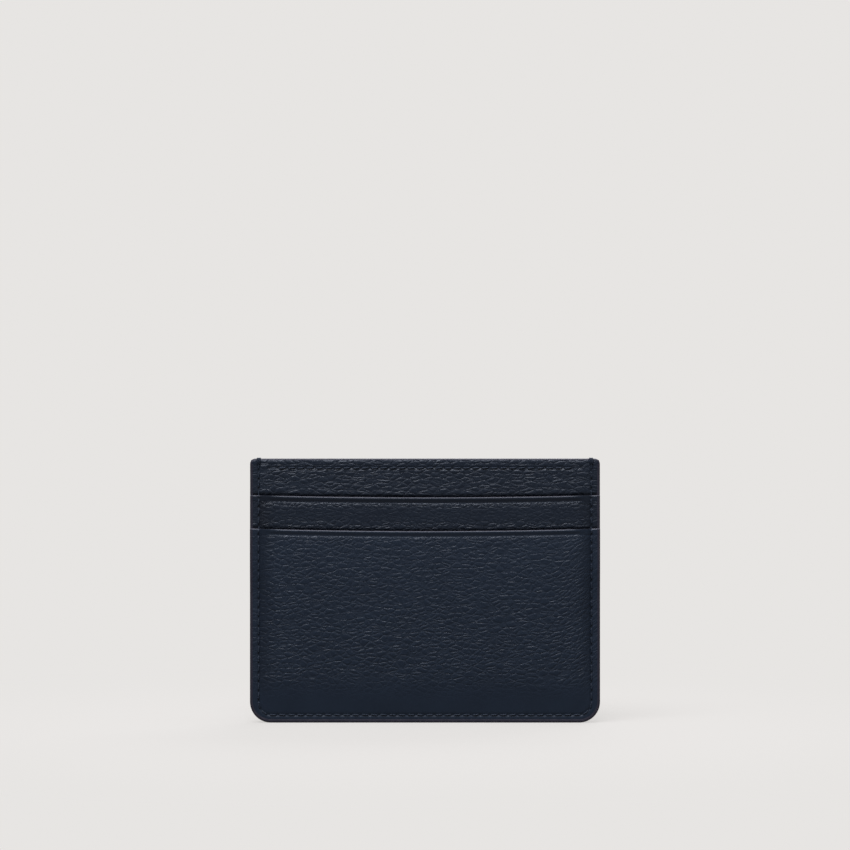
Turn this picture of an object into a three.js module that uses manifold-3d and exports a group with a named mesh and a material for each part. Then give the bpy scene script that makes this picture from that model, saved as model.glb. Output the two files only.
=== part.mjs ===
// A slim leather card holder: two card slots on the front, the same two on the back, and a
// compartment for folded notes between them. It is built up as the real one is, from thin flat
// layers that are sewn together through one seam round the sides and the bottom. The layers'
// edges are sealed together with edge paint.
//
// Millimetres. X is the width, Z is up, Y is the thickness with the front facing -Y. The origin is
// the middle of the bottom edge.

import * as THREE from 'three';
import { mergeVertices } from 'three/addons/utils/BufferGeometryUtils.js';
import Module from 'manifold-3d';

const wasm = await Module();
wasm.setup();

// ---- Driving dimensions ----

const WIDTH = 100;
const HEIGHT = 75.4;
const BOTTOM_CORNER = 6;
const TOP_CORNER = 1.5;

// The layers of one half, as thicknesses counted outwards from the middle of the holder.
const HALF_NOTE_GAP = 0.15;
const LINING = 0.15;
const STIFFENER = 0.2;
const PANEL = 0.55;
const CARD_GAP = 0.8;
const SLIP = 0.1;
const UPPER_POCKET = 0.45;
const POCKET_LINING = 0.1;
const LOWER_POCKET = 0.55;

// Each pocket's mouth is a shallow arc, highest at the sides and lower by its sag in the middle.
const UPPER_MOUTH = 64.85;
const UPPER_SAG = 0.65;
const LOWER_MOUTH = 55.25;
const LOWER_SAG = 0.75;

// The upper pocket is a short leather strip on a cloth slip that hangs down inside the holder.
const STRIP_BOTTOM = 45;
const SLIP_TOP = 62;
const SLIP_BOTTOM = 9.7;
const SLIP_HALF_WIDTH = 45.3;

// Edge paint: how thick it lies on the outer edges and on the pockets' mouths.
const EDGE_PAINT = 0.3;
const MOUTH_PAINT = 0.25;

// Sewing thread, drawn as a flat band. The main seam's thread lies flush in a groove that it has
// pressed into the leather. The other rows lie on their layers.
const THREAD_WIDTH = 0.45;
const THREAD_HEIGHT = 0.2;
const GROOVE_PLAY = 0.1;
const SEAM_INSET = 2.3;
const TOP_ROW_DROP = 2.7;
const TOP_ROW_HALF_LENGTH = 44.9;
const SLIP_ROW_RISE = 2;
const SLIP_ROW_HALF_LENGTH = 43;

const STIFFENER_INSET = 3.4;
const ARC_STEPS = 6;

// ---- Distances from the middle plane, worked out from the layers ----

const LINING_FACE = HALF_NOTE_GAP;
const STIFFENER_FACE = LINING_FACE + LINING;
const PANEL_BACK = STIFFENER_FACE + STIFFENER;
const PANEL_FACE = PANEL_BACK + PANEL;
const SLIP_BACK = PANEL_FACE + CARD_GAP;
const SLIP_FACE = SLIP_BACK + SLIP;
const UPPER_FACE = SLIP_FACE + UPPER_POCKET;
const POCKET_LINING_BACK = UPPER_FACE + CARD_GAP;
const LOWER_BACK = POCKET_LINING_BACK + POCKET_LINING;
const LOWER_FACE = LOWER_BACK + LOWER_POCKET;

// ---- Outlines, drawn in X and Z ----

// Adds the sides and the rounded bottom to a path, from the top of one side to the top of the
// other. It starts on the left and runs anticlockwise, or the other way round for a hole.
function addSidesAndBottom(path, inset, top, anticlockwise = true) {
  const side = WIDTH / 2 - inset;
  const radius = BOTTOM_CORNER - inset;
  const turn = anticlockwise ? 1 : -1;
  const corner = side - radius;
  const first = anticlockwise ? Math.PI : 0;
  const last = anticlockwise ? 2 * Math.PI : Math.PI;
  path.lineTo(-turn * side, top);
  path.absarc(-turn * corner, BOTTOM_CORNER, radius, first, 1.5 * Math.PI, !anticlockwise);
  path.absarc(turn * corner, BOTTOM_CORNER, radius, 1.5 * Math.PI, last, !anticlockwise);
  path.lineTo(turn * side, top);
}

// Adds a pocket's sagging mouth to a path, from right to left.
function addMouth(path, halfWidth, height, sag, rightToLeft = true) {
  const radius = (halfWidth * halfWidth + sag * sag) / (2 * sag);
  const halfAngle = Math.asin(halfWidth / radius);
  const turn = rightToLeft ? 1 : -1;
  const start = -Math.PI / 2 + turn * halfAngle;
  const end = -Math.PI / 2 - turn * halfAngle;
  path.absarc(0, height - sag + radius, radius, start, end, rightToLeft);
}

// The whole face of the holder, with all four corners rounded.
function bodyOutline(inset) {
  const shape = new THREE.Shape();
  const side = WIDTH / 2 - inset;
  const radius = TOP_CORNER - inset;
  const cornerHeight = HEIGHT - TOP_CORNER;
  shape.moveTo(-side, cornerHeight);
  addSidesAndBottom(shape, inset, cornerHeight);
  shape.absarc(side - radius, cornerHeight, radius, 0, Math.PI / 2, false);
  shape.absarc(radius - side, cornerHeight, radius, Math.PI / 2, Math.PI, false);
  return shape;
}

// A pocket that fills the face from the bottom edge up to its mouth.
function pocketOutline(mouth, sag) {
  const shape = new THREE.Shape();
  const top = mouth - MOUTH_PAINT;
  shape.moveTo(EDGE_PAINT - WIDTH / 2, top);
  addSidesAndBottom(shape, EDGE_PAINT, top);
  addMouth(shape, WIDTH / 2 - EDGE_PAINT, top, sag);
  return shape;
}

// The short leather strip of an upper pocket.
function stripOutline() {
  const shape = new THREE.Shape();
  const side = WIDTH / 2 - EDGE_PAINT;
  shape.moveTo(-side, STRIP_BOTTOM);
  shape.lineTo(side, STRIP_BOTTOM);
  addMouth(shape, side, UPPER_MOUTH - MOUTH_PAINT, UPPER_SAG);
  return shape;
}

// The bead of paint along a pocket's mouth.
function mouthPaintOutline(mouth, sag) {
  const shape = new THREE.Shape();
  const side = WIDTH / 2 - EDGE_PAINT;
  shape.moveTo(-side, mouth - MOUTH_PAINT);
  addMouth(shape, side, mouth - MOUTH_PAINT, sag, false);
  addMouth(shape, side, mouth, sag);
  return shape;
}

// The paint over the top edge of one panel, round both top corners.
function topPaintOutline() {
  const shape = new THREE.Shape();
  const side = WIDTH / 2;
  const cornerHeight = HEIGHT - TOP_CORNER;
  const inner = TOP_CORNER - EDGE_PAINT;
  shape.moveTo(side, cornerHeight);
  shape.absarc(side - TOP_CORNER, cornerHeight, TOP_CORNER, 0, Math.PI / 2, false);
  shape.absarc(TOP_CORNER - side, cornerHeight, TOP_CORNER, Math.PI / 2, Math.PI, false);
  shape.absarc(TOP_CORNER - side, cornerHeight, inner, Math.PI, Math.PI / 2, true);
  shape.absarc(side - TOP_CORNER, cornerHeight, inner, Math.PI / 2, 0, true);
  return shape;
}

// A band that follows the sides and the bottom, between two insets, up to a level top.
function bandOutline(outerInset, innerInset, top) {
  const shape = new THREE.Shape();
  shape.moveTo(outerInset - WIDTH / 2, top);
  addSidesAndBottom(shape, outerInset, top);
  addSidesAndBottom(shape, innerInset, top, false);
  return shape;
}

// The stiffener stops short of every seam and keeps square top corners.
function stiffenerOutline() {
  const shape = new THREE.Shape();
  const top = HEIGHT - TOP_ROW_DROP - THREAD_WIDTH;
  shape.moveTo(STIFFENER_INSET - WIDTH / 2, top);
  addSidesAndBottom(shape, STIFFENER_INSET, top);
  return shape;
}

function rectangle(left, right, bottom, top) {
  const shape = new THREE.Shape();
  shape.moveTo(left, bottom);
  shape.lineTo(right, bottom);
  shape.lineTo(right, top);
  shape.lineTo(left, top);
  return shape;
}

// ---- Solids ----

// An outline given a thickness, standing upright: it reaches from y = -near to y = -far. Both
// faces are placed by their own numbers, so that layers that share a plane meet exactly.
function slab(outline, near, far) {
  const settings = { depth: 1, bevelEnabled: false, curveSegments: ARC_STEPS };
  const geometry = new THREE.ExtrudeGeometry(outline, settings);
  const position = geometry.attributes.position;
  for (let i = 0; i < position.count; i += 1) {
    const depth = position.getZ(i) === 0 ? near : far;
    position.setXYZ(i, position.getX(i), -depth, position.getY(i));
  }
  geometry.computeVertexNormals();
  return geometry;
}

function toManifold(geometry) {
  const bare = geometry.clone();
  bare.deleteAttribute('normal');
  bare.deleteAttribute('uv');
  const merged = mergeVertices(bare);
  const vertProperties = new Float32Array(merged.attributes.position.array);
  const triVerts = new Uint32Array(merged.index.array);
  return new wasm.Manifold(new wasm.Mesh({ numProp: 3, vertProperties, triVerts }));
}

function fromManifold(manifold) {
  const mesh = manifold.getMesh();
  const geometry = new THREE.BufferGeometry();
  geometry.setAttribute('position', new THREE.BufferAttribute(mesh.vertProperties, 3));
  geometry.setIndex(new THREE.BufferAttribute(mesh.triVerts, 1));
  geometry.computeVertexNormals();
  return geometry;
}

// Several overlapping solids joined into one.
function joined(geometries) {
  const parts = geometries.map(toManifold);
  return fromManifold(parts.reduce((sum, part) => sum.add(part)));
}

// A layer with the main seam's groove pressed into its face, which is that far from the middle.
function grooved(geometry, face) {
  const outline = bandOutline(SEAM_INSET - GROOVE_PLAY, SEAM_INSET + THREAD_WIDTH + GROOVE_PLAY, HEIGHT);
  const groove = slab(outline, face - THREAD_HEIGHT, face + THREAD_HEIGHT);
  return fromManifold(toManifold(geometry).subtract(toManifold(groove)));
}

// The paint on the sides and the bottom, which seals every layer that reaches the edge. It gets
// thinner in two steps, where each pocket ends.
function perimeterPaint() {
  const cornerHeight = HEIGHT - TOP_CORNER;
  const levels = [[LOWER_MOUTH, LOWER_FACE], [UPPER_MOUTH, UPPER_FACE], [cornerHeight, PANEL_FACE]];
  return joined(levels.map(([top, face]) => slab(bandOutline(0, EDGE_PAINT, top), -face, face)));
}

// One upright run of the main seam's thread, `left` to `left + THREAD_WIDTH`. From the top of the
// bottom corner it climbs down over the mouth of each pocket into the groove of the layer behind.
function threadUpright(left) {
  const corners = [
    [LOWER_FACE, BOTTOM_CORNER],
    [LOWER_FACE, LOWER_MOUTH + THREAD_HEIGHT],
    [UPPER_FACE, LOWER_MOUTH + THREAD_HEIGHT],
    [UPPER_FACE, UPPER_MOUTH + THREAD_HEIGHT],
    [PANEL_FACE, UPPER_MOUTH + THREAD_HEIGHT],
    [PANEL_FACE, HEIGHT],
    [PANEL_FACE - THREAD_HEIGHT, HEIGHT],
    [PANEL_FACE - THREAD_HEIGHT, UPPER_MOUTH],
    [UPPER_FACE - THREAD_HEIGHT, UPPER_MOUTH],
    [UPPER_FACE - THREAD_HEIGHT, LOWER_MOUTH],
    [LOWER_FACE - THREAD_HEIGHT, LOWER_MOUTH],
    [LOWER_FACE - THREAD_HEIGHT, BOTTOM_CORNER],
  ];
  const profile = new THREE.Shape(corners.map(([depth, height]) => new THREE.Vector2(depth, height)));
  const geometry = new THREE.ExtrudeGeometry(profile, { depth: 1, bevelEnabled: false });
  const position = geometry.attributes.position;
  for (let i = 0; i < position.count; i += 1) {
    const x = position.getZ(i) === 0 ? left + THREAD_WIDTH : left;
    position.setXYZ(i, x, -position.getX(i), position.getY(i));
  }
  geometry.computeVertexNormals();
  return geometry;
}

// The main seam's thread on one face: along the bottom, round both corners and up both sides.
function seamThread() {
  const bend = bandOutline(SEAM_INSET, SEAM_INSET + THREAD_WIDTH, BOTTOM_CORNER);
  const right = WIDTH / 2 - SEAM_INSET;
  return joined([
    slab(bend, LOWER_FACE - THREAD_HEIGHT, LOWER_FACE),
    threadUpright(right - THREAD_WIDTH),
    threadUpright(-right),
  ]);
}

// A straight row of stitches, lying on a face.
function threadRow(halfLength, height, face) {
  const row = rectangle(-halfLength, halfLength, height - THREAD_WIDTH / 2, height + THREAD_WIDTH / 2);
  return slab(row, face, face + THREAD_HEIGHT);
}

// ---- Materials ----

function material(color, roughness) {
  return new THREE.MeshStandardMaterial({ color, roughness, metalness: 0 });
}

const LEATHER = 0x262e3b;
const THREAD = 0x2b3140;
const PAINT = 0x1d1f2a;
const CLOTH = 0x1b1e26;
const BOARD = 0x8a8577;

// ---- Assembly ----

function piece(name, geometry, color, roughness) {
  const mesh = new THREE.Mesh(geometry, material(color, roughness));
  mesh.name = name;
  return mesh;
}

// One half of the holder, built facing the front. The back half is the same, turned round.
function half(side) {
  const group = new THREE.Group();
  const face = bodyOutline(EDGE_PAINT);
  const pocket = pocketOutline(LOWER_MOUTH, LOWER_SAG);
  const panel = grooved(slab(face, PANEL_BACK, PANEL_FACE), PANEL_FACE);
  const panelPaint = grooved(slab(topPaintOutline(), LINING_FACE, PANEL_FACE), PANEL_FACE);
  const upper = grooved(slab(stripOutline(), SLIP_FACE, UPPER_FACE), UPPER_FACE);
  const upperBead = mouthPaintOutline(UPPER_MOUTH, UPPER_SAG);
  const upperPaint = grooved(slab(upperBead, SLIP_FACE, UPPER_FACE), UPPER_FACE);
  const lower = grooved(slab(pocket, LOWER_BACK, LOWER_FACE), LOWER_FACE);
  const lowerBead = mouthPaintOutline(LOWER_MOUTH, LOWER_SAG);
  const lowerPaint = grooved(slab(lowerBead, POCKET_LINING_BACK, LOWER_FACE), LOWER_FACE);
  const slip = rectangle(-SLIP_HALF_WIDTH, SLIP_HALF_WIDTH, SLIP_BOTTOM, SLIP_TOP);
  const slipRow = threadRow(SLIP_ROW_HALF_LENGTH, SLIP_BOTTOM + SLIP_ROW_RISE, SLIP_FACE);
  const topRow = threadRow(TOP_ROW_HALF_LENGTH, HEIGHT - TOP_ROW_DROP, PANEL_FACE);
  group.add(
    piece(`${side}_lining`, slab(face, LINING_FACE, STIFFENER_FACE), CLOTH, 0.85),
    piece(`${side}_stiffener`, slab(stiffenerOutline(), STIFFENER_FACE, PANEL_BACK), BOARD, 0.9),
    piece(`${side}_panel`, panel, LEATHER, 0.55),
    piece(`${side}_panel_edge_paint`, panelPaint, PAINT, 0.4),
    piece(`${side}_top_stitching`, topRow, THREAD, 0.6),
    piece(`${side}_upper_pocket_slip`, slab(slip, SLIP_BACK, SLIP_FACE), CLOTH, 0.85),
    piece(`${side}_slip_stitching`, slipRow, THREAD, 0.6),
    piece(`${side}_upper_pocket`, upper, LEATHER, 0.55),
    piece(`${side}_upper_pocket_edge_paint`, upperPaint, PAINT, 0.4),
    piece(`${side}_lower_pocket_lining`, slab(pocket, POCKET_LINING_BACK, LOWER_BACK), CLOTH, 0.85),
    piece(`${side}_lower_pocket`, lower, LEATHER, 0.55),
    piece(`${side}_lower_pocket_edge_paint`, lowerPaint, PAINT, 0.4),
  );
  return group;
}

const front = half('front');
const back = half('back');
back.rotation.z = Math.PI;

const needleThread = piece('perimeter_needle_thread', seamThread(), THREAD, 0.6);
const bobbinThread = piece('perimeter_bobbin_thread', seamThread(), THREAD, 0.6);
bobbinThread.rotation.z = Math.PI;

const cardHolder = new THREE.Group();
cardHolder.add(front, back, needleThread, bobbinThread);
cardHolder.add(piece('perimeter_edge_paint', perimeterPaint(), PAINT, 0.4));

export default cardHolder;
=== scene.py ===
import math

import bmesh
import bpy
import numpy as np
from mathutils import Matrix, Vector


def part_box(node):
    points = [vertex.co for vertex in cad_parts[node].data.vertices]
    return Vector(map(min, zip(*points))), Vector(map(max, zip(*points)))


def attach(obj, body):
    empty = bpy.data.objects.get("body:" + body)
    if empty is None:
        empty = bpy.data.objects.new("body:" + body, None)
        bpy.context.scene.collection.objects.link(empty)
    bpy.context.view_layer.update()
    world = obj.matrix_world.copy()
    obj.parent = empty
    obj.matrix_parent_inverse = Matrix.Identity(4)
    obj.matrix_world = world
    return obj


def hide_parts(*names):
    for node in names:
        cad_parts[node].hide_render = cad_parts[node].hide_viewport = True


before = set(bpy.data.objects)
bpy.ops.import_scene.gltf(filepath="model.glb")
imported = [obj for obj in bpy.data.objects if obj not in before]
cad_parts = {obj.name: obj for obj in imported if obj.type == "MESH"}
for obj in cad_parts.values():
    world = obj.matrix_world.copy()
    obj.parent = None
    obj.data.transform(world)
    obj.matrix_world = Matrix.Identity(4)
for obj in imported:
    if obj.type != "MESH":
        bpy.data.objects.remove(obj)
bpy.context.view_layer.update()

# The looks of a slim leather card holder: two card pockets on the front, the same two on the back,
# and a note compartment between them. Lengths are in millimetres until a mesh is written. A depth
# is a distance from the holder's middle plane, towards whichever face is being made.

MM = 0.001


def node_box(node):
    """The lowest and highest corner of a CAD node, in millimetres."""
    low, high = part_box(node)
    return np.array(low) / MM, np.array(high) / MM


# ---- Sizes taken from the frame ----

HALF_WIDTH = node_box("perimeter_edge_paint")[1][0]
CORNER_TOP = node_box("perimeter_edge_paint")[1][2]
HEIGHT = node_box("front_panel_edge_paint")[1][2]
TOP_CORNER = HEIGHT - CORNER_TOP
PANEL_FACE = -node_box("front_panel")[0][1]
PANEL_BACK = -node_box("front_panel")[1][1]
LINING_FACE = -node_box("front_lining")[1][1]
LINING_BACK = -node_box("front_lining")[0][1]
UPPER_LEATHER = node_box("front_upper_pocket")[1][1] - node_box("front_upper_pocket")[0][1]
LOWER_LEATHER = node_box("front_lower_pocket")[1][1] - node_box("front_lower_pocket")[0][1]
CLOTH = node_box("front_lower_pocket_lining")[1][1] - node_box("front_lower_pocket_lining")[0][1]
UPPER_MOUTH = node_box("front_upper_pocket_edge_paint")[1][2]
LOWER_MOUTH = node_box("front_lower_pocket_edge_paint")[1][2]
MOUTH_PAINT = UPPER_MOUTH - node_box("front_upper_pocket")[1][2]
UPPER_SAG = UPPER_MOUTH - MOUTH_PAINT - node_box("front_upper_pocket_edge_paint")[0][2]
LOWER_SAG = LOWER_MOUTH - MOUTH_PAINT - node_box("front_lower_pocket_edge_paint")[0][2]
STRIP_BOTTOM = node_box("front_upper_pocket")[0][2]
SLIP_LOW, SLIP_HIGH = node_box("front_upper_pocket_slip")
SLIP_ROW_HEIGHT = node_box("front_slip_stitching")[0][2]
TOP_ROW_HEIGHT = (node_box("front_top_stitching")[0][2] + node_box("front_top_stitching")[1][2]) / 2

# ---- Sizes of the finish ----

# The outline's bottom corners, what the edge paint covers, and the way of the seams inside it.
BOTTOM_CORNER = 6.0
EDGE_COVER = 0.25
SEAM_SIDE = 2.5
SEAM_BOTTOM = 2.25
SEAM_CORNER = 3.7
SEAM_X = HALF_WIDTH - SEAM_SIDE
SEAM_QUARTER = SEAM_CORNER * math.pi / 2
SEAM_END = 0.4
TOP_ROW_HALF = 44.7
SLIP_ROW_HALF = 43.0
SLIP_ROW_LIFT = 0.34

# The thread: the way from hole to hole, a stitch's length, its slant to the row, its lift over the
# leather, how far its ends go down, the depth and width of the bed it lies in, and how far apart its
# turns over the top edge are.
STITCH_PITCH = 2.63
STITCH_LENGTH = 2.15
STITCH_SLANT = 0.1
STITCH_LIFT = 0.1
STITCH_SINK = 0.3
STITCH_STEPS = 11
THREAD_RADIUS = 0.2
THREAD_SIDES = 10
THREAD_BED_DEPTH = 0.12
THREAD_BED_WIDTH = 0.4
WRAP_SPACING = 0.36

# What a row does to the leather: a groove, and deeper needle holes with painted shade in them.
GROOVE_DEPTH = 0.12
GROOVE_WIDTH = 0.45
HOLE_DEPTH = 0.22
HOLE_WIDTH = 0.28
HOLE_LENGTH = 0.38
HOLE_SHADE_WIDTH = 0.26

# How far each piece bows out between its seams, and over what width it rises from them.
PANEL_CROWN = 0.12
PANEL_RAMP = 4.0
UPPER_CROWN = 0.62
UPPER_RAMP = 5.0
LOWER_CROWN = 1.4
LOWER_RAMP_LEFT = 6.3
LOWER_RAMP_RIGHT = 5.4
LOWER_RAMP_BOTTOM = 46.0

# The lower pocket's bow eases off again towards the mouth, from this height on.
LOWER_EASE = 0.12
LOWER_EASE_START = 42.0
LOWER_EASE_SPAN = 13.0

# Round the bottom edge of the upper strip, the lower pocket's margins step down over this height.
STRIP_STEP_BELOW = 9.0
STRIP_STEP = 10.0

# Leather thinned towards the painted edge.
THINNING = 0.16
THINNING_WIDTH = 0.55

# A mouth's lip: where its flat starts, the heat crease below it, and the rise out of the crease.
LIP_TOP = 0.3
CREASE_DROP = 1.45
CREASE_RISE = 0.6
CREASE_DEPTH = 0.17
LIP_RISE = 0.15
LOWER_LIP_RISE = 0.27

# A lip's round edge, the share of it that a seam holds back, and how far paint covers it.
LIP_RADIUS = 0.42
LIP_HELD = 0.85
PAINT_LAP = 0.1

# The beads of paint: how high they stand, how far down the faces they reach and how far they tuck
# into the leather. The leather's depth is read a little inside its painted edge.
MOUTH_BEAD_HEIGHT = 0.3
MOUTH_BEAD_DROP = 0.16
TOP_BEAD_HEIGHT = 0.34
TOP_BEAD_DROP = 0.2
PERIMETER_BEAD_REACH = 0.9
BEAD_TUCK = 0.02
PAINT_READ = 0.6
PAINT_THICKNESS = 0.01

# The hidden layers: how far the lining, the stiffener and the lower pocket's lining stop short of
# the top, how far the stiffener keeps from the bottom, its share of the width, and how the slip hangs.
LINING_SHORT = 0.4
STIFFENER_SHORT = 3.4
POCKET_LINING_SHORT = 0.3
STIFFENER_RAISED = 3.0
STIFFENER_WIDTH = 0.93
SLIP_CLEARANCE = 0.2
SLIP_BOW = 0.25
SLIP_BOW_SPAN = 12.0

# Painted shade just inside the side seams: how strong it is, and how wide.
SEAM_SHADE_LEFT = 0.45
SEAM_SHADE_LEFT_WIDTH = 6.5
SEAM_SHADE_RIGHT = 0.2
SEAM_SHADE_RIGHT_WIDTH = 4.5

# ---- Colours and stage ----

LEATHER_DARK = (0.0092, 0.0178, 0.0335, 1)
LEATHER_LIGHT = (0.0112, 0.0212, 0.0388, 1)
# Colour of painted shade, laid over the leather and the edge paint.
PAINTED_SHADE_TONE = (0.0035, 0.0055, 0.0110, 1)
# Colour of the painted highlight along the leather's creases, and how much of it.
PAINTED_CREASE_HIGHLIGHT = (0.0380, 0.0480, 0.0660, 1)
CREASE_HIGHLIGHT_SHARE = 0.32
PAINT_DARK = (0.0240, 0.0210, 0.0330, 1)
PAINT_WORN = (0.0340, 0.0290, 0.0430, 1)
THREAD_DARK = (0.010, 0.016, 0.028, 1)
THREAD_LIGHT = (0.021, 0.031, 0.050, 1)
CLOTH_DARK = (0.007, 0.008, 0.012, 1)
CLOTH_LIGHT = (0.022, 0.026, 0.038, 1)
BOARD_DARK = (0.19, 0.16, 0.12, 1)
BOARD_LIGHT = (0.34, 0.30, 0.24, 1)

# Wave texture scales: one puts the cloth's ribs 0.6 mm apart, the other twists the thread.
WEAVE_SCALE = 530.0
TWIST_SCALE = 900.0

# Where the rows of grain start to curve up on the right, and how fast they then rise.
GRAIN_BEND_START = 34.0
GRAIN_BEND = 0.024

# The backdrop's tone, how much real shadow the floor shows and where it ends, in metres, and how
# bright the floor and the room are as lights.
BACKDROP = (0.799, 0.783, 0.767, 1)
SHADOW_SHARE = 0.3
SHADOW_TONE = (0.682, 0.625, 0.549, 1)
SHADOW_NEAR = 0.06
SHADOW_FAR = 0.2
FLOOR_REACH = 60.0
FLOOR_GLOW = 0.15
ROOM_LOW = 0.04
ROOM_HIGH = 0.3
DAYLIGHT = (0.92, 0.98, 1.12)

# The camera's place in metres, its sensor in millimetres, and the share of the picture's width
# that the holder fills.
CAMERA_DISTANCE = 0.9
CAMERA_HEIGHT = 0.085
SENSOR_WIDTH = 36.0
PICTURE_SHARE = 0.41135


# ---- Shape functions ----


def smooth(value):
    """0 below 0, 1 above 1, and a soft step between."""
    t = np.clip(value, 0, 1)
    return t * t * (3 - 2 * t)


def ease_out(value):
    """Rises from 0 to 1, steep at first and level at the end."""
    t = np.clip(value, 0, 1)
    return 1 - (1 - t) ** 2


def bell(value):
    """1 at 0, falling off softly on both sides."""
    return np.exp(-value * value)


def mouth_at(x, mouth, sag):
    """Height of a pocket's mouth, which sags in the middle."""
    return mouth - sag * (1 - (x / HALF_WIDTH) ** 2)


def half_width_at(z, cover):
    """Half the holder's width at a height, less what the edge paint covers."""
    drop = np.clip(BOTTOM_CORNER - z, 0, BOTTOM_CORNER - cover)
    corner = np.sqrt((BOTTOM_CORNER - cover) ** 2 - drop**2)
    return HALF_WIDTH - BOTTOM_CORNER + corner


def seam_place(x, z):
    """Distance inside the main seam (negative outside it), and the way along it from the bottom."""
    corner_x = SEAM_X - SEAM_CORNER
    corner_z = SEAM_BOTTOM + SEAM_CORNER
    across = np.abs(x)
    dx = across - corner_x
    dz = corner_z - z
    in_corner = (dx > 0) & (dz > 0)
    on_side = ~in_corner & (dx > dz)
    inside = np.where(on_side, SEAM_X - across, z - SEAM_BOTTOM)
    inside = np.where(in_corner, SEAM_CORNER - np.hypot(dx, dz), inside)
    turn = SEAM_CORNER * np.arctan2(dx, np.maximum(dz, 1e-6))
    along = np.where(on_side, corner_x + SEAM_QUARTER + (z - corner_z), across)
    along = np.where(in_corner, corner_x + turn, along)
    return inside, along


def seam_point(along):
    """The point of the main seam that far along it, on the right, and the seam's direction."""
    corner_x = SEAM_X - SEAM_CORNER
    if along < corner_x:
        return (along, SEAM_BOTTOM), (1, 0)
    if along < corner_x + SEAM_QUARTER:
        turn = (along - corner_x) / SEAM_CORNER
        x = corner_x + SEAM_CORNER * math.sin(turn)
        z = SEAM_BOTTOM + SEAM_CORNER * (1 - math.cos(turn))
        return (x, z), (math.cos(turn), math.sin(turn))
    return (SEAM_X, SEAM_BOTTOM + SEAM_CORNER + along - corner_x - SEAM_QUARTER), (0, 1)


def hole_pull(along):
    """How strongly the nearest needle hole pulls, from 0 to 1. Some holes pull harder than others."""
    hole = np.round(along / STITCH_PITCH)
    from_hole = np.abs(along - hole * STITCH_PITCH)
    strength = 0.75 + 0.25 * np.sin(hole * 2.4)
    return strength * bell(from_hole / HOLE_LENGTH)


def stitch_dents(distance, along):
    """How far thread pulls leather in: a groove along the row, deeper at each needle hole."""
    groove = GROOVE_DEPTH * bell(distance / GROOVE_WIDTH)
    holes = HOLE_DEPTH * bell(distance / HOLE_WIDTH) * hole_pull(along)
    return groove + holes


def hole_shade(distance, along, bottom=0.0):
    """Painted shade round the needle holes of a row, less of it in the bottom row."""
    dark = 0.1 + 0.55 * hole_pull(along)
    return bell(distance / HOLE_SHADE_WIDTH) * dark * (1 - 0.6 * bottom)


def panel_depth(x, z):
    """The plain panel behind the pockets, without seams."""
    inside, _ = seam_place(x, z)
    return PANEL_FACE + PANEL_CROWN * ease_out(inside / PANEL_RAMP)


def upper_depth(x, z):
    """The upper pocket's face, without seams."""
    inside, _ = seam_place(x, z)
    bow = UPPER_CROWN * ease_out(inside / UPPER_RAMP)
    return PANEL_FACE + UPPER_LEATHER + bow


def lower_depth(x, z):
    """The lower pocket's face, without seams. Its margins step down where the strip behind ends."""
    on_strip = smooth((z - (STRIP_BOTTOM - STRIP_STEP_BELOW)) / STRIP_STEP)
    margin = PANEL_FACE + LOWER_LEATHER + CLOTH + UPPER_LEATHER * on_strip
    left = ease_out((SEAM_X + x) / LOWER_RAMP_LEFT)
    right = ease_out((SEAM_X - x) / LOWER_RAMP_RIGHT)
    bottom = ease_out((z - SEAM_BOTTOM) / LOWER_RAMP_BOTTOM)
    eased = LOWER_EASE * smooth((z - LOWER_EASE_START) / LOWER_EASE_SPAN)
    height = LOWER_CROWN + UPPER_LEATHER * (1 - on_strip) - eased
    return margin + height * left * right * bottom


def edge_drop(x, z):
    """How much thinner the leather is near the painted edge."""
    to_side = half_width_at(z, 0) - np.abs(x)
    return THINNING * bell(np.minimum(to_side, z) / THINNING_WIDTH)


def mouth_relief(below, x):
    """The flat lip of a pocket sinking into the heat crease under it, fading towards the seams."""
    fade = smooth((SEAM_X - np.abs(x) - 0.6) / 4.5)
    sinking = smooth((below - LIP_TOP) / (CREASE_DROP - LIP_TOP))
    rising = smooth((below - CREASE_DROP) / CREASE_RISE)
    return -CREASE_DEPTH * np.where(below < CREASE_DROP, sinking, 1 - rising) * fade


def crease_shade(below, inside):
    """Painted shade in the heat crease, less of it towards the seams."""
    return 0.5 * bell((below - CREASE_DROP + 0.25) / 0.35) * smooth(inside / 4)


def seam_shade(x):
    """Painted shade just inside the side seams, more of it on the left."""
    left = SEAM_SHADE_LEFT * smooth(1 - (SEAM_X + x) / SEAM_SHADE_LEFT_WIDTH) * (x > -SEAM_X)
    right = SEAM_SHADE_RIGHT * smooth(1 - (SEAM_X - x) / SEAM_SHADE_RIGHT_WIDTH) * (x < SEAM_X)
    return left + right


def mouth_sink(above, depth):
    """How far leather behind a mouth is pressed in, over the last millimetre above it."""
    return depth * smooth(1.0 - above)


def held_flat(inside):
    """Where a mouth is held flat by the seam beside it: 0 on the margin, 1 just inside the seam."""
    return smooth((inside - 0.2) / 0.6) * smooth((8.0 - inside) / 6.0)


def lip_roll(below, inside):
    """How far the leather rolls back at a mouth's edge, less where the seam holds it flat."""
    into = np.clip(LIP_RADIUS - below, 0, LIP_RADIUS)
    roll = LIP_RADIUS - np.sqrt(np.maximum(LIP_RADIUS**2 - into**2, 0))
    return roll * (1 - LIP_HELD * held_flat(inside))


def face_depth(x, z):
    """Depth of whichever leather is outermost, with the bed of the main seam's thread."""
    x = np.asarray(x, float)
    z = np.asarray(z, float)
    inside, _ = seam_place(x, z)
    lower = lower_depth(x, z)
    upper = upper_depth(x, z)
    panel = panel_depth(x, z)
    depth = np.where(z < mouth_at(x, UPPER_MOUTH, UPPER_SAG), upper, panel)
    depth = np.where(z < mouth_at(x, LOWER_MOUTH, LOWER_SAG), lower, depth)
    return depth - THREAD_BED_DEPTH * bell(inside / THREAD_BED_WIDTH)


# ---- Mesh making ----


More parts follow.
